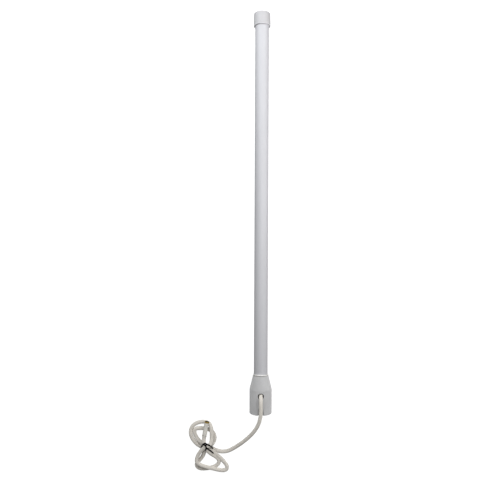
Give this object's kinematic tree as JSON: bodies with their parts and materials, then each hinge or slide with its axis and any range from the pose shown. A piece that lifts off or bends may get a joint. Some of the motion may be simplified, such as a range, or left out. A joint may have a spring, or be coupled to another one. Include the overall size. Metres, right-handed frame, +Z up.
{
  "type": "omnidirectional antenna",
  "caption": "Rod-shaped omnidirectional antenna: capped white radome tube on a threaded grey base ferrule, with a tied coaxial lead ending in a small gold connector.",
  "frame": {"origin": "on the surface that the antenna lies on, under the middle of the antenna's own length and width (its cable and connector left out)", "axes": "+Y along the radome from the base ferrule to the cap, +Z up off the surface, +X to the right; the cable lies on the -X side of the ferrule's end"},
  "size_m": [0.1532, 0.8491, 0.0508],
  "materials": {
    "radome_white": "satin gel coat",
    "cap_white": "satin moulded",
    "sealant_white": "smooth bead",
    "ferrule_grey": "fine moulded texture",
    "cable_white": "satin extruded jacket",
    "tie_black": "satin",
    "shrink_white": "satin shrunk sleeve",
    "gold_plate": "polished gold plate",
    "crimp_nickel": "bright",
    "ptfe_white": "smooth",
    "spring_steel": "bright",
    "gasket_red": "smooth",
    "plug_rubber": "matte",
    "ferrite_black": "sintered",
    "element_brass": "drawn",
    "element_copper": "drawn",
    "spacer_nylon": "moulded",
    "packing_foam": "closed-cell foam"
  },
  "bodies": {
    "antenna": {"radome_tube": "radome_white", "top_cap": "cap_white", "collar_seal": "sealant_white", "base_ferrule": "ferrule_grey", "coax_lead": "cable_white", "coax_bundle": "cable_white", "coax_tail": "cable_white", "coax_inner": "cable_white", "twist_tie": "tie_black", "heat_shrink_sleeve": "shrink_white", "crimp_ferrule": "crimp_nickel", "connector_body": "gold_plate", "connector_insulator": "ptfe_white", "connector_pin": "gold_plate", "nut_retaining_ring": "spring_steel", "nut_gasket": "gasket_red", "sealing_plug": "plug_rubber", "strain_relief_clamp": "spring_steel", "ferrite_bead_1": "ferrite_black", "ferrite_bead_2": "ferrite_black", "ferrite_bead_3": "ferrite_black", "decoupling_sleeve": "element_brass", "feed_insulator": "ptfe_white", "centre_conductor": "element_copper", "lower_radiator": "element_brass", "upper_radiator": "element_brass", "coil_former": "ptfe_white", "phasing_coil": "element_copper", "centring_disc_1": "spacer_nylon", "centring_disc_2": "spacer_nylon", "centring_disc_3": "spacer_nylon", "centring_disc_4": "spacer_nylon", "top_foam_plug": "packing_foam"},
    "connector_nut": {"coupling_nut": "gold_plate"}
  },
  "joints": [
    {"name": "nut_spin", "type": "hinge", "parent": "antenna", "child": "connector_nut", "pos_m": [-0.09881, -0.38655, 0.01244], "axis": [0.1837, 0.9821, -0.0424], "continuous": true}
  ]
}
